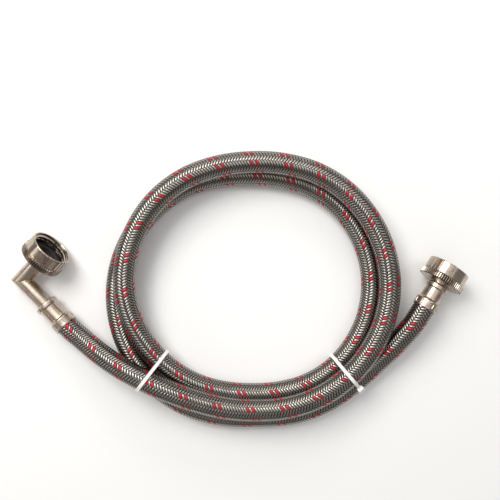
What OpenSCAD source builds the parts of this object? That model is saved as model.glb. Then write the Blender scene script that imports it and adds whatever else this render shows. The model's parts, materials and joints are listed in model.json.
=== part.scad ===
// Braided supply line: a wire-braided rubber hose, loosely coiled and tied,
// with a swivel nut on a mitred elbow at one end and on a straight stem at the other.
// Millimetres, +Z up, origin on the floor under the middle of the part.

/* [Hose] */
// Outside diameter over the wire braid
hose_d = 15.6; // [15.2:0.1:15.6]
// Thickness of the wire braid, two layers of wire
braid_t = 0.5; // [0.4:0.1:0.7]
// Bore of the inner tube
bore_d = 9.5; // [9:0.1:10]

/* [Fittings] */
// Outside diameter of the elbow's tube
elbow_tube_d = 11.3; // [10.5:0.1:12]
// Water way through the stems
waterway_d = 7.2; // [6:0.1:7.6]
// Diameter of the stem that the hose is pushed on
tail_d = 9.4; // [9:0.1:9.6]
// Diameter of the flange that holds the swivel nut
stem_flange_d = 23.2; // [20:0.1:24]
// Tilt of the elbow's nut above the floor
elbow_tilt = 15; // [10:1:20]

/* [Ferrules] */
// Outside diameter of the band that the hose enters
band_d = 17.2; // [17:0.1:18]
// Outside diameter of the crimped waist
waist_d = 14.1; // [13.6:0.1:14.6]
// Outside diameter of the rolled bead
bead_d = 16.9; // [16:0.1:17.5]
// Wall of the ferrules
ferrule_t = 0.6; // [0.5:0.1:0.7]

/* [Swivel nuts] */
// Diameter of the serrated flange, over its tips
flange_d = 31.8; // [31.4:0.1:34]
// Thickness of the serrated flange
flange_t = 4.8; // [4:0.1:6]
// Diameter of the nut's body
body_d = 29.8; // [29.6:0.1:30.6]
// Length of the nut
nut_l = 13.4; // [13.4:0.1:16]
// Number of serrations round the flange
serrations = 72; // [36:1:80]
// Number of grip pads round the body, two of them cut into narrow ribs
pads = 8; // [6:2:10]
// Minor diameter of the female 3/4 inch hose thread, its crests
thread_minor_d = 24.5; // [24.3:0.1:24.8]
// Major diameter of the female 3/4 inch hose thread, its roots
thread_major_d = 27.24; // [27:0.02:27.6]
// Pitch of the thread, 11.5 turns an inch
thread_pitch = 2.209; // [2.1:0.001:2.3]

/* [Washers] */
// Outside diameter of the washers
washer_d = 25.4; // [24:0.1:26]
// Hole in the washers
washer_hole_d = 15.9; // [14:0.1:17]
// Thickness of the washers
washer_t = 2.6; // [2:0.1:2.6]

/* [Ties] */
// Width of the nylon ties
tie_w = 2.4; // [2:0.1:3.6]
// Thickness of the nylon ties
tie_t = 0.9; // [0.7:0.1:0.9]

/* [Hidden] */
$fn = 96;

hose_r = hose_d / 2;

// Lengths along a fitting, measured from where the hose enters its ferrule
band_l = 6;
neck_l = 2;
elbow_waist_end = 18;
straight_waist_end = 15.7;
bead_l = 4;
hose_stop = 1;      // the hose ends this far short of the waist's end
tail_short = 1.5;   // a barbed tail ends this far inside its ferrule
collar_gap = 0.2;   // between a stem's collar and the ferrule round it
running_gap = 0.1;  // between a swivel nut and the hub it turns on
end_gap = 0.3;      // end play of a swivel nut

// The nut's inside, from its back face to its mouth
nut_back_t = 1.6;
stem_flange_t = 1.8;
hub_d = 15.8;
thread_turns = 3;
crest_w = 0.5;
root_w = 0.3;
first_crest = 7;
mouth_chamfer = 0.8;

// The nut's grip: serrations on the flange, grooves between the body's pads and ribs
serration_deep = 0.5;
ribs_in_pad = 4;
groove_w = 1.2;
groove_deep = 0.5;

// Where the elbow's legs cross, and how far its parts are from there
elbow_xy = [-154.4, 7.8];
elbow_hose_leg = 45.5;
elbow_nut_back = 20.9;
elbow_heading = -46;
elbow_z = flange_d / 2 * cos(elbow_tilt) - elbow_nut_back * sin(elbow_tilt);
elbow_at = [elbow_xy[0], elbow_xy[1], elbow_z];
elbow_entry = elbow_at + elbow_hose_leg * heading(elbow_heading, 0);

// Where the hose enters the straight fitting, and which way that points
straight_xy = [131, -12];
straight_heading = 57.2;
straight_tilt = -3;
straight_nut_back = 21.2;
straight_z = flange_d / 2 * cos(straight_tilt) - (straight_nut_back + flange_t) * sin(straight_tilt);
straight_entry = [straight_xy[0], straight_xy[1], straight_z];

// The hose's route: a rise from the elbow over the coil, two turns of coil, a run out to the
// straight fitting. The coil's turns are a radius and a height every 45 degrees.
rise = [[-112.6, -33.6, 10.5], [-100.3, -42.6, 14.6], [-87, -50.6, 19.9], [-72, -58.1, 24.6],
        [-56, -65.3, 26.6], [-40, -71.8, 26.2], [-24, -77.2, 25], [-8, -81, 23.7]];
coil_centre = [8.5, 2];
coil_start = 270;
coil_step = 45;
coil_knots = [[84.6, 22.6], [91.4, 23.3], [97.8, 21.2], [95.5, 21.4], [88.2, 22.6], [89.6, 23.9],
              [87.6, 22.4], [80.8, 14.2], [76.4, 8], [83, 9.2], [87.6, 7.8], [86.5, 7.8],
              [81.2, 7.8], [88.2, 7.8], [95.7, 7.8], [97, 9.2], [92.4, 7.8]];
rings_per_knot = 3;
run_out = [[38.5, -88.5, 7.8], [61.5, -80.5, 8.2], [80.8, -67.6, 9.2], [98.5, -51.5, 10.6],
           [111.8, -38, 13.6], [122.7, -24.8, 16.5]];
hose_sides = 12;

// Ties: middle, heading of the tie's plane, and the strands in it as [distance, height]
tie_reach = 8.6;
left_tie_at = [-59.6, -55.1];
left_tie_heading = 232.3;
left_strands = [[8.1, 25.8], [-7.4, 15.3], [8.4, 9.5]];
right_tie_at = [74.5, -55.1];
right_tie_heading = 310.8;
right_strands = [[4.8, 23.2], [13.7, 9.6], [-3.7, 9.5]];
head_l = 4.6;
head_w = 4.4;
head_t = 3.4;

function heading(angle, tilt) =
    [cos(angle) * cos(tilt), sin(angle) * cos(tilt), sin(tilt)];

function unit(v) = v / norm(v);

function spline(p0, p1, p2, p3, t) =
    0.5 * (2 * p1 + (p2 - p0) * t + (2 * p0 - 5 * p1 + 4 * p2 - p3) * t * t
           + (3 * p1 - p0 - 3 * p2 + p3) * t * t * t);

function spline_at(points, i, t) =
    let (last = len(points) - 1)
    spline(points[max(i - 1, 0)], points[i], points[min(i + 1, last)], points[min(i + 2, last)], t);

function coil_point(k) =
    let (knot = floor(k / rings_per_knot),
         part = k / rings_per_knot - knot,
         rz = spline_at(coil_knots, knot, part),
         angle = coil_start + coil_step * (knot + part))
    [coil_centre[0] + rz[0] * cos(angle), coil_centre[1] + rz[0] * sin(angle), max(rz[1], hose_r)];

coil = [for (k = [0 : rings_per_knot * (len(coil_knots) - 1)]) coil_point(k)];

// The hose inside a ferrule: full size under the band, squeezed in the waist
squeezed_d = waist_d - 2 * ferrule_t - 0.1;
elbow_depths = [elbow_waist_end - hose_stop, band_l + neck_l, band_l];
straight_depths = [band_l, band_l + neck_l, straight_waist_end - hose_stop];
elbow_inward = -heading(elbow_heading, 0);
straight_inward = heading(straight_heading, straight_tilt);
route = concat([for (d = elbow_depths) elbow_entry + d * elbow_inward],
               [elbow_entry], rise, coil, run_out, [straight_entry],
               [for (d = straight_depths) straight_entry + d * straight_inward]);
last_ring = len(route) - 1;

function squeezed(i) = i <= 1 || i >= last_ring - 1;

function ring_way(i) =
    i <= len(elbow_depths) ? -elbow_inward
    : i >= last_ring - len(straight_depths) ? straight_inward
    : unit(route[i + 1] - route[i - 1]);

function ring(i, r) =
    let (way = ring_way(i),
         side = unit(cross([0, 0, 1], way)),
         up = cross(way, side))
    [for (k = [0 : hose_sides - 1])
        let (a = 360 * k / hose_sides)
        route[i] + r * (cos(a) * side + sin(a) * up)];

// A quad between two rings of points, as two triangles
function quad(a, b, c, d) = [[a, b, c], [a, c, d]];

// A hollow tube along the route. Each diameter is [free, squeezed].
module hose_tube(outer_d, inner_d) {
    function pick(pair, i) = (squeezed(i) ? pair[1] : pair[0]) / 2;
    n = hose_sides;
    inside = (last_ring + 1) * n;
    points = concat([for (i = [0 : last_ring]) each ring(i, pick(outer_d, i))],
                    [for (i = [0 : last_ring]) each ring(i, pick(inner_d, i))]);
    faces = [
        for (k = [0 : n - 1])
            let (m = (k + 1) % n, end = last_ring * n)
            each concat(
                quad(k, m, inside + m, inside + k),
                quad(end + k, inside + end + k, inside + end + m, end + m)),
        for (i = [0 : last_ring - 1], k = [0 : n - 1])
            let (m = (k + 1) % n, a = i * n, b = a + n)
            each concat(
                quad(a + k, b + k, b + m, a + m),
                quad(inside + a + k, inside + a + m, inside + b + m, inside + b + k))];
    polyhedron(points, faces);
}

// The steel wire braid
module braid_sleeve() {
    color("#8f8a84")
        hose_tube([hose_d, squeezed_d], [hose_d - 2 * braid_t, squeezed_d - 2 * braid_t]);
}

// The rubber tube under the braid
module inner_tube() {
    color("#1b1b1c")
        hose_tube([hose_d - 2 * braid_t, squeezed_d - 2 * braid_t], [bore_d, tail_d]);
}

// Stand on the elbow's hose leg, +Z from the corner towards the hose
module on_hose_leg() {
    translate(elbow_at)
        rotate([0, 90, elbow_heading])
            children();
}

// Stand on the elbow's nut leg, +Z from the corner towards the mouth
module on_nut_leg() {
    translate(elbow_at)
        rotate([elbow_tilt - 90, 0, elbow_heading])
            children();
}

// Stand where the hose enters the straight fitting, +Z towards the mouth
module on_straight() {
    translate(straight_entry)
        rotate([0, 90 - straight_tilt, straight_heading])
            children();
}

// A turned solid from [radius, height] points
module turned(points) {
    rotate_extrude()
        polygon(points);
}

// A round bar with a barbed tail, from the tail's end at 0 up to length l
module barbed_tail(l) {
    barbs = 3;
    barb_l = 3.4;
    barb_h = 0.3;
    r = tail_d / 2;
    turned(concat([[0, 0], [r - 0.5, 0]],
                  [for (i = [0 : barbs - 1]) each
                      [[r + barb_h, 1.2 + i * barb_l], [r, 1.4 + i * barb_l]]],
                  [[r, l], [0, l]]));
}

// The hub and flange that a swivel nut turns on, from the nut's back face
module nut_seat() {
    flange_z = nut_back_t + end_gap;
    translate([0, 0, -0.8])
        cylinder(d = hub_d, h = flange_z + 0.8);
    translate([0, 0, flange_z])
        cylinder(d = stem_flange_d, h = stem_flange_t);
}

// Half of space on one side of the elbow's mitre
module mitre_half(side) {
    size = 120;
    rotate([0, 0, 45])
        translate([-size / 2, side < 0 ? -size : 0, -size / 2])
            cube(size);
}

// The elbow, drawn with its hose leg along +X and its nut leg along +Y
module elbow_solid() {
    reach = elbow_tube_d;
    tail_l = elbow_hose_leg - tail_short;
    collar_at = elbow_hose_leg - elbow_waist_end - bead_l + 0.8;
    intersection() {
        rotate([0, 90, 0]) {
            translate([0, 0, -reach])
                cylinder(d = elbow_tube_d, h = reach + collar_at + 1);
            translate([0, 0, collar_at])
                cylinder(d = bead_d - 2 * ferrule_t - 2 * collar_gap, h = 2.4);
            translate([0, 0, tail_l])
                mirror([0, 0, 1])
                    barbed_tail(tail_l - collar_at - 1);
        }
        mitre_half(-1);
    }
    intersection() {
        rotate([-90, 0, 0]) {
            translate([0, 0, -reach])
                cylinder(d = elbow_tube_d, h = reach + elbow_nut_back);
            translate([0, 0, elbow_nut_back])
                nut_seat();
        }
        mitre_half(1);
    }
}

// One-piece elbow: barbed tail, mitred corner, hub and flange
module elbow_body() {
    bore_back = waterway_d / 2;
    color("#b5ab9d")
        translate(elbow_at)
            rotate([0, 0, elbow_heading])
                rotate([elbow_tilt, 0, 0])
                    difference() {
                        elbow_solid();
                        rotate([0, 90, 0])
                            translate([0, 0, -bore_back])
                                cylinder(d = waterway_d, h = elbow_hose_leg + bore_back);
                        rotate([-90, 0, 0])
                            translate([0, 0, -bore_back])
                                cylinder(d = waterway_d, h = elbow_nut_back + nut_l + bore_back);
                    }
}

// Straight stem: barbed tail, collar, hub and flange
module straight_stem() {
    collar_at = straight_waist_end + 0.8;
    color("#b5ab9d")
        on_straight()
            difference() {
                union() {
                    translate([0, 0, tail_short])
                        barbed_tail(collar_at);
                    translate([0, 0, collar_at])
                        cylinder(d = bead_d - 2 * ferrule_t - 2 * collar_gap, h = 2.4);
                    translate([0, 0, collar_at])
                        cylinder(d = elbow_tube_d, h = straight_nut_back - collar_at);
                    translate([0, 0, straight_nut_back])
                        nut_seat();
                }
                cylinder(d = waterway_d, h = straight_nut_back + nut_l);
            }
}

// A crimped ferrule, from the hose's entry at 0: band, waist, rolled bead
module ferrule(waist_end) {
    band_r = band_d / 2;
    waist_r = waist_d / 2;
    bead_r = bead_d / 2;
    lip_r = elbow_tube_d / 2 + 0.05;
    roll = 1.1;
    end = waist_end + bead_l;
    turned([[band_r - ferrule_t, 0], [band_r - 0.2, 0], [band_r, 0.3],
            [band_r, band_l], [waist_r, band_l + neck_l], [waist_r, waist_end - 0.8],
            [bead_r - 0.5, waist_end], [bead_r, waist_end + roll], [bead_r, end - roll],
            [bead_r - 0.5, end - 0.3], [bead_r - 1, end], [lip_r, end], [lip_r, end - ferrule_t],
            [bead_r - ferrule_t, end - ferrule_t - 0.1], [bead_r - ferrule_t, waist_end + 0.7],
            [waist_r - ferrule_t, waist_end - 0.1], [waist_r - ferrule_t, band_l + neck_l],
            [band_r - ferrule_t, band_l]]);
}

module elbow_ferrule() {
    color("#b5ab9d")
        on_hose_leg()
            translate([0, 0, elbow_hose_leg])
                mirror([0, 0, 1])
                    ferrule(elbow_waist_end);
}

module straight_ferrule() {
    color("#b5ab9d")
        on_straight()
            ferrule(straight_waist_end);
}

// The space inside a swivel nut: hub hole, washer pocket, thread and mouth
module nut_inside() {
    minor_r = thread_minor_d / 2;
    major_r = thread_major_d / 2;
    flank = (thread_pitch - crest_w - root_w) / 2;
    crest_low = [for (i = [0 : thread_turns - 1]) first_crest + i * thread_pitch - crest_w / 2];
    hub_hole_r = hub_d / 2 + running_gap;
    turned(concat([[0, -1], [hub_hole_r, -1], [hub_hole_r, nut_back_t], [major_r, nut_back_t]],
                  [for (z = crest_low) each
                      [[major_r, z - flank], [minor_r, z], [minor_r, z + crest_w],
                       [major_r, z + crest_w + flank]]],
                  [[major_r, nut_l - mouth_chamfer], [major_r + 0.4, nut_l], [major_r + 0.4, nut_l + 1],
                   [0, nut_l + 1]]));
}

// A groove along the nut's body, i pads round from the first
module grip_groove(i) {
    rotate([0, 0, 360 * i / pads])
        translate([body_d / 2 - groove_deep, -groove_w / 2, flange_t])
            cube([2 * groove_deep, groove_w, nut_l]);
}

// A swivel nut, from its back face at 0 to its mouth
module swivel_nut() {
    tip_r = flange_d / 2;
    root_r = tip_r - serration_deep;
    difference() {
        union() {
            linear_extrude(flange_t)
                polygon([for (i = [0 : 2 * serrations - 1])
                    let (a = 180 * i / serrations, r = i % 2 == 0 ? tip_r : root_r)
                    [r * cos(a), r * sin(a)]]);
            cylinder(d = body_d, h = nut_l);
        }
        for (i = [0 : pads - 1])
            grip_groove(i);
        for (i = [0, pads / 2], k = [1 : ribs_in_pad - 1])
            grip_groove(i + k / ribs_in_pad);
        nut_inside();
    }
}

module elbow_swivel_nut() {
    color("#c0b6a8")
        on_nut_leg()
            translate([0, 0, elbow_nut_back])
                swivel_nut();
}

module straight_swivel_nut() {
    color("#c0b6a8")
        on_straight()
            translate([0, 0, straight_nut_back])
                swivel_nut();
}

// A flat washer that lies on the stem's flange
module washer() {
    translate([0, 0, nut_back_t + end_gap + stem_flange_t])
        difference() {
            cylinder(d = washer_d, h = washer_t);
            translate([0, 0, -1])
                cylinder(d = washer_hole_d, h = washer_t + 2);
        }
}

module elbow_washer() {
    color("#161617")
        on_nut_leg()
            translate([0, 0, elbow_nut_back])
                washer();
}

module straight_washer() {
    color("#161617")
        on_straight()
            translate([0, 0, straight_nut_back])
                washer();
}

// The outline round a tie's strands
module round_strands(strands, r) {
    hull()
        for (s = strands)
            translate(s)
                circle(r, $fn = 40);
}

// A nylon tie drawn tight round its strands. Its head sits on the stretch from strand a to
// strand b, a share of the way along.
module tie(at, plane, strands, a, b, share) {
    way = unit(strands[b] - strands[a]);
    translate([at[0], at[1], 0])
        rotate([90, 0, plane]) {
            linear_extrude(tie_w, center = true)
                difference() {
                    round_strands(strands, tie_reach + tie_t);
                    round_strands(strands, tie_reach);
                }
            translate(strands[a] + share * (strands[b] - strands[a]))
                rotate([0, 0, atan2(way[1], way[0])])
                    translate([-head_l / 2, tie_reach + tie_t / 2, -head_w / 2])
                        cube([head_l, head_t, head_w]);
        }
}

module left_tie() {
    color("#f2f2f0")
        tie(left_tie_at, left_tie_heading, left_strands, 2, 1, 0.65);
}

module right_tie() {
    color("#f2f2f0")
        tie(right_tie_at, right_tie_heading, right_strands, 0, 1, 0.45);
}

braid_sleeve();
inner_tube();
elbow_body();
elbow_ferrule();
elbow_swivel_nut();
elbow_washer();
straight_stem();
straight_ferrule();
straight_swivel_nut();
straight_washer();
left_tie();
right_tie();
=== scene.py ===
import json
import math

import bmesh
import bpy
import numpy as np
from mathutils import Matrix, Vector


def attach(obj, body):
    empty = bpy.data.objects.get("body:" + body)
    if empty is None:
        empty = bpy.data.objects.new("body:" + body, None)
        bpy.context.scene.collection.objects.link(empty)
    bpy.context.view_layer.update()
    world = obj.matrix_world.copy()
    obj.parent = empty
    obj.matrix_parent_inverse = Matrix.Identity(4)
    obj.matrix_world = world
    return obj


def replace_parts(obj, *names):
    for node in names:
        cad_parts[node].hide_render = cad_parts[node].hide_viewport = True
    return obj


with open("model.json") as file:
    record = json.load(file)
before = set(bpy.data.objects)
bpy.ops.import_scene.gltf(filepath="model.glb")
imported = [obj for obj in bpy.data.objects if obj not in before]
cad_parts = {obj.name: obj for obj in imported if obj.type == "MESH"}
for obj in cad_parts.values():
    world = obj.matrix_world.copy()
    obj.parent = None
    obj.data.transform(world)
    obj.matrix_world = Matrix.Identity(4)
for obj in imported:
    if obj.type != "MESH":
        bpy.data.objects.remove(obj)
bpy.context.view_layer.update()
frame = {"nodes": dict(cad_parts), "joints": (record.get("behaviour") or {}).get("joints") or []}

MM = 0.001
UP = np.array([0.0, 0.0, 1.0])
HOSE = "hose"
JOINTS = {joint["name"]: joint for joint in frame["joints"]}

# Camera: straight above the middle of the picture, half a metre up
CAMERA_AT = (0.0085, 0.029, 0.5)
CAMERA_LENS = 49.3
SENSOR = 36

# Hose and its braid
HOSE_R = 7.8 * MM
BRAID_LEAD = 24.12 * MM
CARRIERS_EACH_WAY = 12
CARRIER_PITCH = BRAID_LEAD / CARRIERS_EACH_WAY
STRAND_W = 1.66 * MM
RED_W = 1.95 * MM
STRAND_LIFT = 0.2 * MM
STRAND_BACK = 0.16 * MM
STRAND_R = HOSE_R - STRAND_BACK - STRAND_LIFT
STRAND_CROWN = 0.36 * MM
BRAID_TURN = math.radians(25)
BRAID_SHIFT = -1.64 * MM
RED_CARRIERS = (0, 2)
WIRES_IN_STRAND = 7
LINER_R = 7.1 * MM

# Fittings, measured along their own axes
ELBOW_HOSE_LEG = 45.5 * MM
ELBOW_NUT_BACK = 20.9 * MM
ELBOW_TUBE_R = 5.8 * MM
ELBOW_HEADING = math.radians(-46)
STRAIGHT_NUT_BACK = 21.2 * MM
ELBOW_NUT_TURN = 159
STRAIGHT_NUT_TURN = 42.5
ELBOW_WAIST_END = 18 * MM
STRAIGHT_WAIST_END = 15.7 * MM

# The hose's route between its ferrules, in the row frame
RISE = [(-0.1126, -0.0336, 0.0105), (-0.1003, -0.0426, 0.0146), (-0.087, -0.0506, 0.0199),
        (-0.072, -0.0581, 0.0246), (-0.056, -0.0653, 0.0266), (-0.040, -0.0718, 0.0262),
        (-0.024, -0.0772, 0.025), (-0.008, -0.081, 0.0237)]
COIL_CENTRE = (0.0085, 0.002)
COIL_START = 270
COIL_STEP = 45
COIL_KNOTS = [(0.0846, 0.0226), (0.0914, 0.0233), (0.0978, 0.0212), (0.0955, 0.0214),
              (0.0882, 0.0226), (0.0896, 0.0239), (0.0876, 0.0224), (0.0808, 0.0142),
              (0.0764, 0.008), (0.083, 0.0092), (0.0876, 0.0078), (0.0865, 0.0078),
              (0.0812, 0.0078), (0.0882, 0.0078), (0.0957, 0.0078), (0.097, 0.0092),
              (0.0924, 0.0078)]
RUN_OUT = [(0.0385, -0.0885, 0.0078), (0.0615, -0.0805, 0.0082), (0.0808, -0.0676, 0.0092),
           (0.0985, -0.0515, 0.0106), (0.1118, -0.038, 0.0136), (0.1227, -0.0248, 0.0165)]
POINTS_PER_KNOT = 3

# Ties: middle, heading of the plane in degrees, the two strands that the head sits between and
# how far along, and the strands in the plane as (distance, height)
TIE_REACH = 8.3 * MM
TIE_W = 2.4 * MM
TIE_T = 0.9 * MM
TIES = {
    "left": {"at": (-0.0596, -0.0551), "heading": 232.3, "head": (2, 1, 0.65),
             "strands": [(0.0081, 0.0258), (-0.0074, 0.0153), (0.0084, 0.0092)]},
    "right": {"at": (0.0745, -0.0551), "heading": 310.8, "head": (0, 1, 0.45),
              "strands": [(0.0048, 0.0232), (0.0137, 0.0094), (-0.0037, 0.0092)]},
}


# ---------------------------------------------------------------- camera, light, floor

def make_camera():
    data = bpy.data.cameras.new("camera")
    data.lens = CAMERA_LENS
    data.sensor_width = SENSOR
    data.clip_start = 0.01
    camera = bpy.data.objects.new("camera", data)
    camera.location = CAMERA_AT
    bpy.context.scene.collection.objects.link(camera)
    bpy.context.scene.camera = camera


def soft_light(name, at, size, power, colour=(1, 1, 1)):
    """A rectangular softbox that faces the middle of the object."""
    data = bpy.data.lights.new(name, "AREA")
    data.shape = "RECTANGLE"
    data.size = size[0]
    data.size_y = size[1]
    data.energy = power
    data.color = colour
    light = bpy.data.objects.new(name, data)
    light.location = at
    light.rotation_euler = (Vector(at) - Vector((0, 0, 0.01))).to_track_quat("Z", "Y").to_euler()
    bpy.context.scene.collection.objects.link(light)


def make_lights():
    soft_light("key", (-0.45, 0.55, 0.95), (0.6, 0.6), 9.5, (1, 0.985, 0.96))
    soft_light("left", (-0.9, -0.14, 0.45), (0.6, 0.22), 0.8, (1, 0.98, 0.95))
    soft_light("right", (0.85, 0.3, 0.75), (0.4, 0.4), 1.0, (1, 0.99, 0.98))
    soft_light("back", (0.05, 1.0, 0.6), (0.7, 0.3), 2.2, (1, 0.99, 0.97))
    soft_light("overhead", (0.1, 0.3, 1.5), (1.8, 1.8), 8)
    world = bpy.data.worlds.new("studio")
    world.use_nodes = True
    background = world.node_tree.nodes["Background"]
    background.inputs["Color"].default_value = (1, 0.97, 0.93, 1)
    background.inputs["Strength"].default_value = 0.27
    bpy.context.scene.world = world
    bpy.context.scene.view_settings.view_transform = "Standard"


def make_floor():
    half = 3.0
    mesh = bpy.data.meshes.new("floor")
    corners = [(-half, -half, 0), (half, -half, 0), (half, half, 0), (-half, half, 0)]
    mesh.from_pydata(corners, [], [(0, 1, 2, 3)])
    floor = bpy.data.objects.new("floor", mesh)
    bpy.context.scene.collection.objects.link(floor)
    tree = MaterialTree("floor_paper")
    tree.set("Base Color", (0.92, 0.92, 0.92, 1))
    tree.set("Roughness", 0.85)
    grain = tree.noise(tree.position(), 400, 3)
    tree.bump(grain, 0.05, 0.0002)
    floor.data.materials.append(tree.material)


# ---------------------------------------------------------------- materials

class MaterialTree:
    """A Principled material with a few short ways to add nodes to it."""

    def __init__(self, name):
        self.material = bpy.data.materials.new(name)
        self.material.use_nodes = True
        self.tree = self.material.node_tree
        self.shader = self.tree.nodes["Principled BSDF"]

    def set(self, socket, value):
        self.shader.inputs[socket].default_value = value

    def drive(self, socket, output):
        self.tree.links.new(output, self.shader.inputs[socket])

    def node(self, kind, **settings):
        node = self.tree.nodes.new(kind)
        for key, value in settings.items():
            setattr(node, key, value)
        return node

    def position(self):
        return self.node("ShaderNodeTexCoord").outputs["Object"]

    def uv(self, layer="surface"):
        return self.node("ShaderNodeUVMap", uv_map=layer).outputs["UV"]

    def first_part(self, vector):
        """A vector's X."""
        node = self.node("ShaderNodeSeparateXYZ")
        self.tree.links.new(vector, node.inputs["Vector"])
        return node.outputs["X"]

    def stretched(self, vector, scale):
        mapping = self.node("ShaderNodeMapping")
        mapping.inputs["Scale"].default_value = scale
        self.tree.links.new(vector, mapping.inputs["Vector"])
        return mapping.outputs["Vector"]

    def noise(self, vector, scale, detail=4, roughness=0.55):
        noise = self.node("ShaderNodeTexNoise")
        noise.inputs["Scale"].default_value = scale
        noise.inputs["Detail"].default_value = detail
        noise.inputs["Roughness"].default_value = roughness
        self.tree.links.new(vector, noise.inputs["Vector"])
        return noise.outputs["Fac"]

    def ramp(self, factor, stops):
        """A colour ramp from (place, colour) stops."""
        ramp = self.node("ShaderNodeValToRGB")
        elements = ramp.color_ramp.elements
        while len(elements) < len(stops):
            elements.new(0.5)
        for element, (place, colour) in zip(elements, stops):
            element.position = place
            element.color = (*colour, 1)
        self.tree.links.new(factor, ramp.inputs["Fac"])
        return ramp.outputs["Color"]

    def range(self, value, low, high, out_low, out_high):
        node = self.node("ShaderNodeMapRange")
        for key, number in (("From Min", low), ("From Max", high),
                            ("To Min", out_low), ("To Max", out_high)):
            node.inputs[key].default_value = number
        self.tree.links.new(value, node.inputs["Value"])
        return node.outputs["Result"]

    def math(self, operation, first, second=None):
        node = self.node("ShaderNodeMath", operation=operation)
        for socket, value in zip(node.inputs, (first, second)):
            if isinstance(value, (int, float)):
                socket.default_value = value
            elif value is not None:
                self.tree.links.new(value, socket)
        return node.outputs["Value"]

    def multiply(self, colour, other):
        node = self.node("ShaderNodeMix", data_type="RGBA", blend_type="MULTIPLY")
        node.inputs["Factor"].default_value = 1
        self.tree.links.new(colour, node.inputs["A"])
        self.tree.links.new(other, node.inputs["B"])
        return node.outputs["Result"]

    def bump(self, height, strength, distance):
        bump = self.node("ShaderNodeBump")
        bump.inputs["Strength"].default_value = strength
        bump.inputs["Distance"].default_value = distance
        self.tree.links.new(height, bump.inputs["Height"])
        self.drive("Normal", bump.outputs["Normal"])


def wire_height(tree):
    """Round backs of the parallel wires across a strand, 0 in the gaps and 1 on the backs."""
    wires = tree.math("MULTIPLY", tree.first_part(tree.uv()), WIRES_IN_STRAND)
    place = tree.math("SUBTRACT", tree.math("MULTIPLY", tree.math("FRACT", wires), 2), 1)
    fall = tree.math("SUBTRACT", 1, tree.math("MULTIPLY", place, place))
    return tree.math("SQRT", tree.math("MAXIMUM", fall, 0))


def strand_material(name, gap_shade, body, backs_highlight, roughness, metallic, rim_shade):
    """Wires lying side by side: painted shade in the gaps between them, at the strand's rims and where
    it dives under its neighbours, and a painted highlight on their backs."""
    tree = MaterialTree(name)
    height = wire_height(tree)
    # painted shade in the gaps between the wires and a painted highlight on their backs
    wires = tree.ramp(height, [(0.0, gap_shade), (0.4, body), (1.0, backs_highlight)])
    across = tree.first_part(tree.uv())
    # painted shade towards the strand's rims, where it meets its neighbours
    edge = tree.ramp(across, [(0.0, (rim_shade,) * 3), (0.3, (0.8,) * 3), (0.5, (1,) * 3),
                              (0.7, (0.8,) * 3), (1.0, (rim_shade,) * 3)])
    height_in_weave = tree.first_part(tree.uv("weave"))
    # painted shade where the strand dives under its neighbours, read from its height in the weave
    dive_shade = tree.ramp(height_in_weave, [(0.0, (0.06,) * 3), (0.5, (0.3,) * 3), (0.95, (1,) * 3)])
    stain = tree.noise(tree.position(), 90, 3)
    shade = tree.ramp(stain, [(0.3, (0.8, 0.79, 0.77)), (0.7, (1, 1, 1))])
    # the base colour carries the painted shade and painted highlight above, times the random stain
    colour = tree.multiply(tree.multiply(wires, dive_shade), tree.multiply(shade, edge))
    tree.drive("Base Color", colour)
    tree.set("Metallic", metallic)
    drawn = tree.noise(tree.stretched(tree.uv(), (30, 2, 1)), 6, 3)
    tree.drive("Roughness", tree.range(drawn, 0.3, 0.7, roughness - 0.06, roughness + 0.08))
    tree.bump(height, 0.12, 0.0001)
    return tree.material


def plated_material(name, colour, roughness, lines, recess_shaded=False):
    """Nickel plate: faint turning lines round the axis, cloudy gloss, slightly warm patches. A
    recess-shaded one has painted shade down in its serrations and in the roots of its thread, where
    the weave layer's first part is low."""
    tree = MaterialTree(name)
    cloud = tree.noise(tree.position(), 120, 5)
    patch = tree.noise(tree.position(), 170, 2)
    brown = [c * w for c, w in zip(colour, (0.84, 0.7, 0.68))]
    gold = [c * w for c, w in zip(colour, (1.0, 0.93, 0.76))]
    plate = tree.ramp(patch, [(0.32, brown), (0.48, colour), (0.66, gold)])
    if recess_shaded:
        # painted shade down in the serrations and thread roots
        recess_shade = tree.ramp(tree.first_part(tree.uv("weave")), [(0.0, (0.1, 0.09, 0.08)),
                                                              (0.75, (1, 1, 1))])
        plate = tree.multiply(plate, recess_shade)
    tree.drive("Base Color", plate)
    tree.set("Metallic", 1)
    tree.drive("Roughness", tree.range(cloud, 0.25, 0.75, roughness - 0.06, roughness + 0.1))
    turning = tree.noise(tree.stretched(tree.uv(), (3, lines, 1)), 1, 4, 0.7)
    pits = tree.noise(tree.position(), 1500, 2)
    height = tree.math("ADD", turning, tree.math("MULTIPLY", pits, 0.4))
    tree.bump(height, 0.25, 0.00004)
    return tree.material


def rubber_material(name, value, roughness):
    tree = MaterialTree(name)
    bloom = tree.noise(tree.position(), 260, 4)
    tree.drive("Base Color", tree.ramp(bloom, [(0.3, (value,) * 3), (0.75, (value * 1.8,) * 3)]))
    tree.drive("Roughness", tree.range(bloom, 0.2, 0.8, roughness - 0.08, roughness + 0.1))
    tree.bump(tree.noise(tree.position(), 2500, 3), 0.3, 0.00005)
    return tree.material


def nylon_material():
    tree = MaterialTree("white_nylon")
    cloud = tree.noise(tree.position(), 300, 3)
    tree.drive("Base Color", tree.ramp(cloud, [(0.3, (0.86, 0.86, 0.84)), (0.7, (0.95, 0.95, 0.94))]))
    tree.drive("Roughness", tree.range(cloud, 0.2, 0.8, 0.32, 0.48))
    tree.set("Subsurface Weight", 0.15)
    tree.set("Subsurface Radius", (0.002, 0.002, 0.002))
    tree.set("Subsurface Scale", 0.5)
    tree.bump(tree.noise(tree.stretched(tree.uv(), (60, 4, 1)), 2, 2), 0.2, 0.00006)
    return tree.material


# ---------------------------------------------------------------- mesh tools

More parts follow.
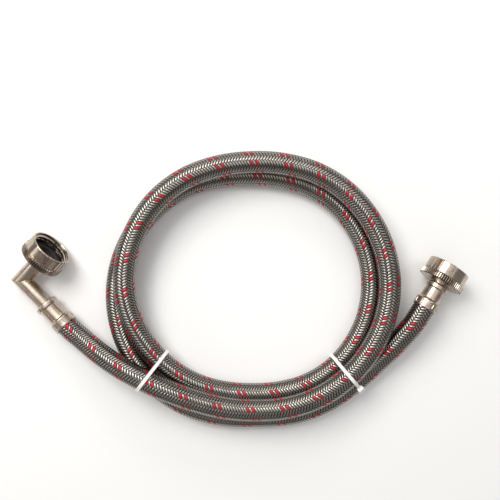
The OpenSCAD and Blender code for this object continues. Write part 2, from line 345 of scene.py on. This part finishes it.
def link_piece(name, mesh, material, body=HOSE, sharp=35):
    piece = bpy.data.objects.new(name, mesh)
    bpy.context.scene.collection.objects.link(piece)
    mesh.materials.append(material)
    mesh.shade_smooth()
    if sharp:
        mesh.set_sharp_from_angle(angle=math.radians(sharp))
    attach(piece, body)
    return piece


def mesh_from(name, points, quads, uvs, weave=None):
    """A mesh of quads with one UV a point. The weave layer, where given, tells a material how
    high in the weave each point is, or how much painted recess shade it gets."""
    mesh = bpy.data.meshes.new(name)
    mesh.vertices.add(len(points))
    mesh.vertices.foreach_set("co", np.asarray(points, np.float32).ravel())
    corners = np.asarray(quads, np.int32).ravel()
    mesh.loops.add(len(corners))
    mesh.loops.foreach_set("vertex_index", corners)
    mesh.polygons.add(len(quads))
    mesh.polygons.foreach_set("loop_start", np.arange(0, len(corners), 4, dtype=np.int32))
    layer = mesh.uv_layers.new(name="surface")
    layer.data.foreach_set("uv", np.asarray(uvs, np.float32)[corners].ravel())
    if weave is not None:
        layer = mesh.uv_layers.new(name="weave")
        layer.data.foreach_set("uv", np.asarray(weave, np.float32)[corners].ravel())
    mesh.update(calc_edges=True)
    mesh.validate()
    return mesh


def grid_quads(rows, columns, wrap_rows=False, wrap_columns=False, first=0):
    """Quads of a grid of points stored row by row."""
    r = np.arange(rows if wrap_rows else rows - 1)
    c = np.arange(columns if wrap_columns else columns - 1)
    r, c = np.meshgrid(r, c, indexing="ij")
    r_next = (r + 1) % rows
    c_next = (c + 1) % columns
    quads = np.stack([r * columns + c, r * columns + c_next,
                      r_next * columns + c_next, r_next * columns + c], axis=-1)
    return quads.reshape(-1, 4) + first


def rounded(corners, steps=4):
    """A profile of (radius, z, fillet) corners, each corner's fillet drawn as an arc."""
    out = []
    count = len(corners)
    for i, (x, y, fillet) in enumerate(corners):
        here = np.array([x, y])
        if not fillet or i in (0, count - 1):
            out.append(here)
            continue
        before = np.array(corners[i - 1][:2]) - here
        after = np.array(corners[i + 1][:2]) - here
        reach = min(fillet, 0.45 * np.linalg.norm(before), 0.45 * np.linalg.norm(after))
        start = here + before / np.linalg.norm(before) * reach
        end = here + after / np.linalg.norm(after) * reach
        for t in np.linspace(0, 1, steps + 1):
            out.append((1 - t) ** 2 * start + 2 * t * (1 - t) * here + t ** 2 * end)
    return np.array(out)


def turned_points(profile, sides, radius_at=None):
    """Points of a lathe of (radius, z) rows. radius_at(row, angles) may change the radii."""
    angles = np.arange(sides) * 2 * math.pi / sides
    radii = np.repeat(profile[:, :1], sides, axis=1)
    if radius_at is not None:
        radii = radius_at(radii, profile[:, 1:2], angles[None, :])
    points = np.stack([radii * np.cos(angles), radii * np.sin(angles),
                       np.repeat(profile[:, 1:2], sides, axis=1)], axis=-1)
    lengths = np.concatenate([[0], np.cumsum(np.linalg.norm(np.diff(profile, axis=0), axis=1))])
    uvs = np.stack([np.repeat(angles[None, :] / (2 * math.pi), len(profile), axis=0),
                    np.repeat(lengths[:, None] / MM * 0.1, sides, axis=1)], axis=-1)
    return points.reshape(-1, 3), uvs.reshape(-1, 2)


def placed(points, place):
    """Points moved by a 4x4 placement."""
    matrix = np.array(place)
    return points @ matrix[:3, :3].T + matrix[:3, 3]


def placement(origin, forward, near=UP):
    """A placement whose +Z is forward, and whose +Y leans to near."""
    z = np.array(forward, float) / np.linalg.norm(forward)
    x = np.cross(near, z)
    x /= np.linalg.norm(x)
    y = np.cross(z, x)
    matrix = np.identity(4)
    matrix[:3, 0] = x
    matrix[:3, 1] = y
    matrix[:3, 2] = z
    matrix[:3, 3] = origin
    return matrix


# ---------------------------------------------------------------- where things are

def heading(angle, tilt=0.0):
    return np.array([math.cos(angle) * math.cos(tilt), math.sin(angle) * math.cos(tilt),
                     math.sin(tilt)])


ELBOW_NUT_AT = np.array(JOINTS["elbow_nut_spin"]["pos_m"])
ELBOW_NUT_WAY = np.array(JOINTS["elbow_nut_spin"]["axis"])
STRAIGHT_NUT_AT = np.array(JOINTS["straight_nut_spin"]["pos_m"])
STRAIGHT_WAY = np.array(JOINTS["straight_nut_spin"]["axis"])
ELBOW_HOSE_WAY = heading(ELBOW_HEADING)
ELBOW_CORNER = ELBOW_NUT_AT - ELBOW_NUT_BACK * ELBOW_NUT_WAY
ELBOW_ENTRY = ELBOW_CORNER + ELBOW_HOSE_LEG * ELBOW_HOSE_WAY
STRAIGHT_ENTRY = STRAIGHT_NUT_AT - STRAIGHT_NUT_BACK * STRAIGHT_WAY


# ---------------------------------------------------------------- hose

def spline(p0, p1, p2, p3, t):
    return 0.5 * (2 * p1 + (p2 - p0) * t + (2 * p0 - 5 * p1 + 4 * p2 - p3) * t ** 2
                  + (3 * p1 - p0 - 3 * p2 + p3) * t ** 3)


def spline_at(points, i, t):
    last = len(points) - 1
    return spline(points[max(i - 1, 0)], points[i], points[min(i + 1, last)],
                  points[min(i + 2, last)], t)


def coil_points():
    knots = np.array(COIL_KNOTS)
    points = []
    for k in range(POINTS_PER_KNOT * (len(knots) - 1) + 1):
        knot = k // POINTS_PER_KNOT
        part = k / POINTS_PER_KNOT - knot
        radius, height = spline_at(knots, knot, part)
        angle = math.radians(COIL_START + COIL_STEP * (knot + part))
        points.append((COIL_CENTRE[0] + radius * math.cos(angle),
                       COIL_CENTRE[1] + radius * math.sin(angle), max(height, HOSE_R)))
    return points


def hose_line():
    """The hose's centreline: distance from the elbow's ferrule, point, side and up."""
    inside = 16 * MM
    hidden = 5 * MM
    steps = 24
    controls = np.array([ELBOW_ENTRY - inside * ELBOW_HOSE_WAY, ELBOW_ENTRY, *RISE,
                         *coil_points(), *RUN_OUT, STRAIGHT_ENTRY,
                         STRAIGHT_ENTRY + inside * STRAIGHT_WAY])
    fine = [spline_at(controls, i, k / steps)
            for i in range(1, len(controls) - 2) for k in range(steps)]
    fine = np.array([ELBOW_ENTRY - hidden * ELBOW_HOSE_WAY, *fine, STRAIGHT_ENTRY,
                     STRAIGHT_ENTRY + hidden * STRAIGHT_WAY])
    fine[:, 2] = np.maximum(fine[:, 2], HOSE_R)
    far = np.concatenate([[0], np.cumsum(np.linalg.norm(np.diff(fine, axis=0), axis=1))])
    even = np.linspace(0, far[-1], int(far[-1] / (0.5 * MM)) + 1)
    point = np.stack([np.interp(even, far, fine[:, axis]) for axis in range(3)], axis=1)
    way = np.gradient(point, even, axis=0)
    way /= np.linalg.norm(way, axis=1)[:, None]
    side = np.cross(UP, way)
    side /= np.linalg.norm(side, axis=1)[:, None]
    return {"s": even - hidden, "point": point, "side": side, "up": np.cross(way, side),
            "hidden": hidden, "length": far[-1] - 2 * hidden}


def on_hose(line, s, angle, radius):
    """Points at distance s along the hose, at an angle round it and a radius from its middle."""
    def along(key):
        return np.stack([np.interp(s, line["s"], line[key][:, axis]) for axis in range(3)], axis=-1)
    out = np.cos(angle)[..., None] * along("side") + np.sin(angle)[..., None] * along("up")
    return along("point") + np.asarray(radius)[..., None] * out


def make_liner(line):
    """The black rubber tube that shows between the strands."""
    sides = 28
    rows = int(line["length"] / (3 * MM))
    s = np.linspace(line["s"][0], line["s"][-1], rows)[:, None] + np.zeros((1, sides))
    angle = np.arange(sides)[None, :] * 2 * math.pi / sides + np.zeros((rows, 1))
    points = on_hose(line, s, angle, np.full(s.shape, LINER_R))
    uvs = np.stack([angle / (2 * math.pi), s / HOSE_R], axis=-1)
    mesh = mesh_from("rubber_tube", points.reshape(-1, 3),
                     grid_quads(rows, sides, wrap_columns=True), uvs.reshape(-1, 2))
    piece = link_piece("rubber_tube", mesh, rubber_material("tube_rubber", 0.012, 0.6),
                       sharp=None)
    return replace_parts(piece, "inner_tube")


def strand_grid(line, index, hand, strand_w):
    """One carrier's strand of wires, wound right-handed (1) or left-handed (-1), as rows of
    points across it. It passes over two strands of the other hand, then under two."""
    samples_a_lead = 48
    squareness = 1.7
    period = 4
    rows = int(line["length"] / BRAID_LEAD * samples_a_lead)
    across = np.array([-1, -0.62, 0, 0.62, 1])
    s = np.linspace(line["s"][0], line["s"][-1], rows)
    turn = hand * 2 * math.pi * (s - index * CARRIER_PITCH - BRAID_SHIFT) / BRAID_LEAD
    crossings = turn / (math.pi / CARRIERS_EACH_WAY)
    top = 3.5 if hand > 0 else 1.5
    wave = np.cos(2 * math.pi * (crossings - top) / period)
    lift = STRAND_LIFT * np.tanh(squareness * wave) / math.tanh(squareness)
    slope = math.atan2(2 * math.pi * STRAND_R, BRAID_LEAD)
    width = across * strand_w / 2
    s_grid = s[:, None] + width[None, :] * math.sin(slope)
    s_grid = np.clip(s_grid, line["s"][0], line["s"][-1])
    angle = BRAID_TURN + turn[:, None] - hand * width[None, :] * math.cos(slope) / STRAND_R
    radius = STRAND_R + lift[:, None] - STRAND_CROWN * (across ** 2)[None, :] + STRAND_BACK
    points = on_hose(line, s_grid, angle, radius)
    wire_length = s[:, None] / math.cos(slope) / (10 * MM)
    uvs = np.stack([np.repeat(across[None, :] * 0.5 + 0.5, rows, axis=0),
                    np.repeat(wire_length, len(across), axis=1)], axis=-1)
    height = np.repeat(lift[:, None] / STRAND_LIFT * 0.5 + 0.5, len(across), axis=1)
    weave = np.stack([height, np.full(height.shape, (index + 0.5) / CARRIERS_EACH_WAY)], axis=-1)
    quads = grid_quads(rows, len(across))
    if hand < 0:
        quads = quads[:, ::-1]
    return points.reshape(-1, 3), quads, uvs.reshape(-1, 2), weave.reshape(-1, 2)


def make_strands(line, name, indices, hand, material, strand_w=STRAND_W):
    """Several strands of one hand in one mesh."""
    strands = [strand_grid(line, index, hand, strand_w) for index in indices]
    firsts = np.cumsum([0] + [len(strand[0]) for strand in strands])
    points = np.concatenate([strand[0] for strand in strands])
    quads = np.concatenate([strand[1] + first for strand, first in zip(strands, firsts)])
    uvs = np.concatenate([strand[2] for strand in strands])
    weave = np.concatenate([strand[3] for strand in strands])
    mesh = mesh_from(name, points, quads, uvs, weave)
    piece = link_piece(name, mesh, material, sharp=None)
    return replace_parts(piece, "braid_sleeve")


def make_braid(line):
    # Colours of each: painted shade in the wire gaps, body, painted highlight on the wire backs; the
    # last number is the painted shade at the strand's rims
    steel = strand_material("steel_wire", (0.04, 0.036, 0.032), (0.33, 0.308, 0.282),
                            (0.58, 0.55, 0.505), 0.24, 1.0, 0.03)
    red = strand_material("red_wire", (0.12, 0.0, 0.008), (0.4, 0.005, 0.02),
                          (0.7, 0.014, 0.03), 0.33, 0.3, 0.4)
    plain = [i for i in range(CARRIERS_EACH_WAY) if i not in RED_CARRIERS]
    half = len(plain) // 2
    third = CARRIERS_EACH_WAY // 3
    pieces = [
        make_strands(line, "red_tracers", RED_CARRIERS, 1, red, RED_W),
        make_strands(line, "braid_right_a", plain[:half], 1, steel),
        make_strands(line, "braid_right_b", plain[half:], 1, steel),
    ]
    for k, letter in enumerate("abc"):
        indices = range(k * third, (k + 1) * third)
        pieces.append(make_strands(line, f"braid_left_{letter}", indices, -1, steel))
    return pieces


# ---------------------------------------------------------------- ferrules

def ferrule_profile(waist_end):
    """From the hose's entry at 0: band, waist and rolled bead. Closed, outside first."""
    end = waist_end / MM + 4
    w = waist_end / MM
    corners = [(8.0, 0.6, 0), (8.02, 0.0, 0.15), (8.6, 0.0, 0.3), (8.6, 6.0, 0.5), (7.12, 7.1, 0.9),
               (7.05, w - 0.6, 0.5), (7.1, w - 0.2, 0.2), (7.5, w, 0.3), (8.25, w + 0.3, 0.9),
               (8.25, end - 0.7, 0.9), (7.2, end - 0.25, 0.4), (6.9, end, 0.25), (5.7, end, 0.2),
               (5.7, end - 0.6, 0)]
    return rounded(corners) * MM


def crimp_marks(radii, z, angles):
    """Jaw marks: a row of shallow rectangular dents round the band."""
    count = 9
    share = np.abs((angles * count / (2 * math.pi)) % 1 - 0.5) * 2
    inside_turn = np.clip((0.52 - share) / 0.08, 0, 1)
    inside_length = np.clip((1.75 * MM - np.abs(z - 3.1 * MM)) / (0.35 * MM), 0, 1)
    on_band = radii > 8.2 * MM
    dent = 0.38 * MM * inside_turn * inside_length * on_band
    return radii - np.where(z < 6.2 * MM, dent, 0)


def with_rows(profile, z_from, z_to, step):
    """The profile with extra rows where it runs straight along z, so that dents fit in it."""
    rows = [profile[0]]
    for before, after in zip(profile, profile[1:]):
        length = abs(after[1] - before[1])
        straight = z_from <= min(before[1], after[1]) and max(before[1], after[1]) <= z_to
        count = max(1, int(round(length / step))) if straight else 1
        for k in range(1, count + 1):
            rows.append(before + (after - before) * k / count)
    return np.array(rows)


def make_ferrule(name, node, waist_end, place, material):
    sides = 288
    profile = with_rows(ferrule_profile(waist_end), 0, 6.5 * MM, 0.17 * MM)
    points, uvs = turned_points(profile, sides, crimp_marks)
    mesh = mesh_from(name, placed(points, place), grid_quads(len(profile), sides, wrap_columns=True),
                     uvs)
    piece = link_piece(name, mesh, material, sharp=40)
    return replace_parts(piece, node)


# ---------------------------------------------------------------- elbow

def mitre_rows(radius, hose_from, nut_to, sides):
    """Rings of a mitred tube, in a frame with the hose leg along +X and the nut leg along +Y."""
    angles = np.arange(sides) * 2 * math.pi / sides
    level = radius * np.sin(angles)
    outward = radius * np.cos(angles)
    ease = 0.35 * MM
    rows = [(np.full(sides, x), -outward) for x in (hose_from, 0.5 * hose_from)]
    rows += [(ease - outward, -outward), (-outward, -outward), (-outward, ease - outward)]
    rows += [(-outward, np.full(sides, y)) for y in (0.5 * nut_to, nut_to)]
    return np.array([np.stack([x, y, level], axis=1) for x, y in rows])


def elbow_placement():
    """The elbow's own frame: +X down the hose leg, +Y up the nut leg."""
    matrix = np.identity(4)
    matrix[:3, 0] = ELBOW_HOSE_WAY
    matrix[:3, 1] = ELBOW_NUT_WAY
    matrix[:3, 2] = np.cross(ELBOW_HOSE_WAY, ELBOW_NUT_WAY)
    matrix[:3, 3] = ELBOW_CORNER
    return matrix


def seam_bead(sides, rows):
    """A small run of brazing metal in the inner corner of the mitre."""
    turn = np.linspace(math.radians(-70), math.radians(70), rows)
    thick = 0.75 * MM * np.cos(turn * 90 / 75) ** 0.5
    around = np.arange(sides) * 2 * math.pi / sides
    middle = np.stack([ELBOW_TUBE_R * np.cos(turn)] * 2 + [ELBOW_TUBE_R * np.sin(turn)], axis=1)
    out = np.stack([np.cos(turn), np.cos(turn), np.sin(turn)], axis=1)
    out /= np.linalg.norm(out, axis=1)[:, None]
    cross = np.array([1, -1, 0]) / math.sqrt(2)
    points = (middle[:, None, :] + thick[:, None, None]
              * (np.cos(around)[None, :, None] * out[:, None, :]
                 + np.sin(around)[None, :, None] * cross[None, None, :]))
    return points.reshape(-1, 3)


def nut_seat_profile():
    """Hub and flange that a swivel nut turns on, from behind the nut to the water way."""
    corners = [(5.6, -3.0, 0), (5.65, -1.4, 0.3), (7.9, -0.8, 0.25), (7.9, 1.9, 0), (11.6, 1.9, 0.2),
               (11.6, 3.7, 0.3), (4.0, 3.7, 0.2), (3.6, 3.3, 0.2), (3.6, -18, 0)]
    return rounded(corners) * MM


def make_elbow(material):
    sides = 96
    tube = mitre_rows(ELBOW_TUBE_R, 27 * MM, ELBOW_NUT_BACK, sides)
    points = [placed(tube.reshape(-1, 3), elbow_placement())]
    quads = [grid_quads(len(tube), sides, wrap_columns=True)]
    uvs = [np.stack([np.tile(np.arange(sides) / sides, len(tube)),
                     np.repeat(np.arange(len(tube)) * 0.9, sides)], axis=1)]
    bead_sides = 16
    bead_rows = 25
    points.append(placed(seam_bead(bead_sides, bead_rows), elbow_placement()))
    quads.append(grid_quads(bead_rows, bead_sides, wrap_columns=True, first=len(points[0])))
    uvs.append(np.zeros((bead_rows * bead_sides, 2)))
    seat = nut_seat_profile()
    seat_points, seat_uvs = turned_points(seat, sides)
    first = len(points[0]) + len(points[1])
    points.append(placed(seat_points, placement(ELBOW_NUT_AT, ELBOW_NUT_WAY)))
    quads.append(grid_quads(len(seat), sides, wrap_columns=True, first=first))
    uvs.append(seat_uvs)
    mesh = mesh_from("mitred_elbow", np.concatenate(points), np.concatenate(quads),
                     np.concatenate(uvs))
    piece = link_piece("mitred_elbow", mesh, material, sharp=38)
    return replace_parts(piece, "elbow_body")


# ---------------------------------------------------------------- swivel nuts

NUT_SERRATIONS = 60
SERRATION_DEEP = 0.6 * MM
NUT_PADS = 8
RIB_SPACING = 0.25
THREAD_PITCH = 2.209 * MM
THREAD_MINOR = 12.25 * MM
THREAD_MAJOR = 13.62 * MM
THREAD_SLOT_AT = math.radians(124)
THREAD_LOW = 6.4 * MM
THREAD_HIGH = 12.6 * MM
FLANGE_TOP = 4.8 * MM
NUT_LENGTH = 13.4 * MM
BODY_R = 14.9 * MM


def nut_profile():
    """A closed profile from the hub hole, round the outside and down the thread."""
    outside = [(8.0, 0.8, 0), (8.0, 0.0, 0.3), (15.1, 0.0, 0.3), (15.9, 0.5, 0.5), (15.9, 4.3, 0.45),
               (15.2, 4.8, 0.25), (14.75, 4.9, 0.12), (14.9, 5.4, 0.3), (14.9, 13.0, 0.4),
               (14.55, 13.4, 0.3), (13.85, 13.4, 0.15), (13.62, 12.8, 0)]
    inside = [(13.62, 6.3, 0), (13.62, 1.6, 0.4), (8.0, 1.6, 0.3), (8.0, 0.8, 0)]
    thread = np.arange(THREAD_HIGH, THREAD_LOW, -0.13 * MM)
    turns = np.stack([np.full(len(thread), THREAD_MAJOR), thread], axis=1)
    return np.concatenate([with_rows(rounded(outside) * MM, 0, 13 * MM, 1.2 * MM), turns,
                           rounded(inside) * MM])


def serration_depth(angles):
    """Ridges round the flange: steep sides and narrow flat tips."""
    share = np.abs((angles * NUT_SERRATIONS / (2 * math.pi)) % 1 - 0.5) * 2
    return SERRATION_DEEP * np.clip((0.72 - share) / 0.34, 0, 1)


def grip_depth(angles):
    """Grooves between the pads, one more on each side of two of them, and the pads' flats."""
    pad = angles * NUT_PADS / (2 * math.pi)
    groove = np.abs((pad + 0.5) % 1 - 0.5)
    beside = np.abs(groove - RIB_SPACING)
    ribbed = np.isin(np.round(pad) % NUT_PADS, (0, NUT_PADS / 2)) & (groove < 1.5 * RIB_SPACING)
    nearest = np.where(ribbed, np.minimum(groove, beside), groove)
    arc = nearest * 2 * math.pi / NUT_PADS * BODY_R
    cut = 0.55 * MM * np.clip((0.72 * MM - arc) / (0.22 * MM), 0, 1)
    from_middle = (pad % 1 - 0.5) * 2 * math.pi / NUT_PADS
    flat = BODY_R - np.minimum(BODY_R, (BODY_R - 0.08 * MM) / np.cos(from_middle))
    return cut + np.where(ribbed, 0, flat)


def thread_depth(z, angles):
    """How far the helical thread stands in from its roots. A relief slot cuts across it."""
    phase = (z / THREAD_PITCH - angles / (2 * math.pi)) % 1
    tooth = np.clip((0.5 - np.abs(phase - 0.5) - 0.07) / 0.31, 0, 1)
    fade = np.clip((z - THREAD_LOW) / (0.6 * MM), 0, 1) * np.clip((THREAD_HIGH - z) / (0.8 * MM), 0, 1)
    slot = np.clip((np.abs(angles - THREAD_SLOT_AT) - 0.02) / 0.02, 0, 1)
    return (THREAD_MAJOR - THREAD_MINOR) * tooth * fade * slot


def nut_relief(radii, z, angles):
    """Depth cut below the turned profile, and how free of painted recess shade the metal is there, 0
    to 1.
    """
    outside = radii > 14.2 * MM
    flange = outside & (z < FLANGE_TOP - 0.05 * MM) & (radii > 15.2 * MM)
    body = outside & (z > FLANGE_TOP) & (z < NUT_LENGTH - 0.01 * MM)
    threaded = (np.abs(radii - THREAD_MAJOR) < 1e-6) & (z <= THREAD_HIGH) & (z >= THREAD_LOW)
    serration = np.where(flange, serration_depth(angles), 0)
    tooth = np.where(threaded, thread_depth(z, angles), 0)
    # 0 where the painted recess shade is full, in serration valleys and thread roots; 1 on open metal
    unshaded = 1 - serration / SERRATION_DEEP - np.where(threaded, 0.9, 0)
    unshaded = np.clip(unshaded + tooth / (THREAD_MAJOR - THREAD_MINOR), 0, 1)
    return serration + np.where(body, grip_depth(angles), 0) + tooth, unshaded


def nut_radii(radii, z, angles):
    return radii - nut_relief(radii, z, angles)[0]


def make_nut(name, node, body, place, turn, material):
    """A swivel nut, turned on its axis by so many degrees."""
    sides = 8 * NUT_SERRATIONS
    profile = nut_profile()
    points, uvs = turned_points(profile, sides, nut_radii)
    angles = np.arange(sides)[None, :] * 2 * math.pi / sides
    radii = np.repeat(profile[:, :1], sides, axis=1)
    # the painted recess shade key, carried in the weave layer
    unshaded = nut_relief(radii, profile[:, 1:2], angles)[1]
    spin = np.array(Matrix.Rotation(math.radians(turn), 4, "Z"))
    mesh = mesh_from(name, placed(points, place @ spin),
                     grid_quads(len(profile), sides, wrap_columns=True), uvs,
                     np.stack([unshaded, unshaded], axis=-1).reshape(-1, 2))
    piece = link_piece(name, mesh, material, body=body, sharp=32)
    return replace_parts(piece, node)


# ---------------------------------------------------------------- ties

def hull_outline(centres, radius):
    """The line that a strap takes drawn tight round circles, evenly spaced, anticlockwise."""
    dots_each = 180
    points_round = 240
    around = np.arange(dots_each) * 2 * math.pi / dots_each
    dots = [(x + radius * math.cos(a), y + radius * math.sin(a)) for x, y in centres for a in around]
    dots.sort()
    chains = []
    for ordered in (dots, dots[::-1]):
        chain = []
        for dot in ordered:
            while len(chain) > 1 and turns_right(chain[-2], chain[-1], dot):
                chain.pop()
            chain.append(dot)
        chains.append(chain[:-1])
    outline = np.array(chains[0] + chains[1] + chains[0][:1])
    far = np.concatenate([[0], np.cumsum(np.linalg.norm(np.diff(outline, axis=0), axis=1))])
    even = np.linspace(0, far[-1], points_round + 1)[:-1]
    return np.stack([np.interp(even, far, outline[:, k]) for k in range(2)], axis=1)


def turns_right(a, b, c):
    return (b[0] - a[0]) * (c[1] - a[1]) - (b[1] - a[1]) * (c[0] - a[0]) <= 0


def strap_section():
    """The strap's cross-section as (out, across): rounded edges and a shallow groove outside."""
    half = TIE_W / 2
    edge = 0.25 * MM
    dip = 0.14 * MM
    return np.array([(0, -half + edge), (edge, -half), (TIE_T - edge, -half), (TIE_T, -half + edge),
                     (TIE_T, -0.55 * half), (TIE_T - dip, -0.4 * half), (TIE_T - dip, 0.4 * half),
                     (TIE_T, 0.55 * half), (TIE_T, half - edge), (TIE_T - edge, half), (edge, half),
                     (0, half - edge)])


def tie_placement(tie):
    """The tie's own frame: +X along its plane, +Y up, +Z along the strands."""
    angle = math.radians(tie["heading"])
    matrix = np.identity(4)
    matrix[:3, 0] = (math.cos(angle), math.sin(angle), 0)
    matrix[:3, 1] = UP
    matrix[:3, 2] = np.cross(matrix[:3, 0], UP)
    matrix[:3, 3] = (*tie["at"], 0)
    return matrix


def tie_head(tie):
    """The ratchet head with its rounded edges, slot and trimmed tail, in the tie's frame."""
    a, b, share = tie["head"]
    start = np.array(tie["strands"][a])
    way = np.array(tie["strands"][b]) - start
    middle = start + share * way
    way /= np.linalg.norm(way)
    out = np.array([-way[1], way[0]])
    built = bmesh.new()
    low = TIE_REACH + 0.3 * MM
    block(built, (5.0 * MM, 3.2 * MM, 4.4 * MM), (0, low + 1.6 * MM, 0), 0.55 * MM)
    inset_top(built, 0.8 * MM, 0.5 * MM)
    block(built, (3.6 * MM, 0.9 * MM, 2.2 * MM), (4.0 * MM, low + 1.3 * MM, 0), 0.2 * MM)
    turn = Matrix(((way[0], out[0], 0, middle[0]), (way[1], out[1], 0, middle[1]),
                   (0, 0, 1, 0), (0, 0, 0, 1)))
    bmesh.ops.transform(built, matrix=Matrix(tie_placement(tie).tolist()) @ turn, verts=built.verts)
    return built


def block(built, size, centre, bevel):
    """A block with rounded edges, added to a bmesh."""
    verts = bmesh.ops.create_cube(built, size=1)["verts"]
    bmesh.ops.scale(built, vec=size, verts=verts)
    bmesh.ops.translate(built, vec=centre, verts=verts)
    edges = [edge for edge in built.edges if edge.verts[0] in verts]
    bmesh.ops.bevel(built, geom=edges, offset=bevel, segments=3, affect="EDGES", profile=0.6)


def inset_top(built, margin, depth):
    """Sinks a slot in the large face that lies furthest out."""
    smallest = 1 * MM ** 2
    top = max(built.faces, key=lambda f: f.calc_center_median().y * (f.calc_area() > smallest))
    bmesh.ops.inset_region(built, faces=[top], thickness=margin, depth=0)
    bmesh.ops.translate(built, vec=(0, -depth, 0), verts=top.verts)


def make_tie(name, node, tie, material):
    outline = hull_outline(tie["strands"], TIE_REACH)
    way = np.roll(outline, -1, axis=0) - np.roll(outline, 1, axis=0)
    way /= np.linalg.norm(way, axis=1)[:, None]
    out = np.stack([way[:, 1], -way[:, 0]], axis=1)
    section = strap_section()
    flat = outline[:, None, :] + section[None, :, :1] * out[:, None, :]
    across = np.broadcast_to(section[None, :, 1:], (*flat.shape[:2], 1))
    points = placed(np.concatenate([flat, across], axis=2).reshape(-1, 3), tie_placement(tie))
    rows = len(outline)
    columns = len(section)
    uvs = np.stack([np.repeat(np.arange(rows) / rows, columns),
                    np.tile(np.arange(columns) / columns, rows)], axis=1)
    mesh = mesh_from(name, points, grid_quads(rows, columns, True, True), uvs)
    built = tie_head(tie)
    built.from_mesh(mesh)
    bmesh.ops.recalc_face_normals(built, faces=built.faces)
    built.to_mesh(mesh)
    built.free()
    piece = link_piece(name, mesh, material, sharp=40)
    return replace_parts(piece, node)


# ---------------------------------------------------------------- CAD nodes that stay

def dress(node, material):
    """Gives a CAD node a better material."""
    piece = frame["nodes"][node]
    piece.data.materials.clear()
    piece.data.materials.append(material)
    return piece


def make_fittings():
    """Everything at the two ends. Returns the two pieces that the hose carries."""
    plate = plated_material("nickel_fitting", (0.55, 0.475, 0.415), 0.27, 60)
    # the nuts get painted shade in their serrations and thread roots
    nut_plate = plated_material("nickel_nut", (0.49, 0.425, 0.37), 0.21, 30, recess_shaded=True)
    washer = rubber_material("washer_rubber", 0.016, 0.5)
    make_ferrule("crimped_ferrule_elbow", "elbow_ferrule", ELBOW_WAIST_END,
                 placement(ELBOW_ENTRY, -ELBOW_HOSE_WAY), plate)
    ferrule = make_ferrule("crimped_ferrule_straight", "straight_ferrule", STRAIGHT_WAIST_END,
                           placement(STRAIGHT_ENTRY, STRAIGHT_WAY), plate)
    make_elbow(plate)
    make_nut("serrated_nut_elbow", "elbow_swivel_nut", "elbow_nut",
             placement(ELBOW_NUT_AT, ELBOW_NUT_WAY), ELBOW_NUT_TURN, nut_plate)
    make_nut("serrated_nut_straight", "straight_swivel_nut", "straight_nut",
             placement(STRAIGHT_NUT_AT, STRAIGHT_WAY), STRAIGHT_NUT_TURN, nut_plate)
    dress("elbow_washer", washer)
    dress("straight_washer", washer)
    return [ferrule, dress("straight_stem", plate)]


def main():
    make_camera()
    line = hose_line()
    liner = make_liner(line)
    braid = make_braid(line)
    carried = make_fittings()
    nylon = nylon_material()
    for side, tie in TIES.items():
        make_tie(f"nylon_tie_{side}", f"{side}_tie", tie, nylon)
    make_lights()
    make_floor()


main()
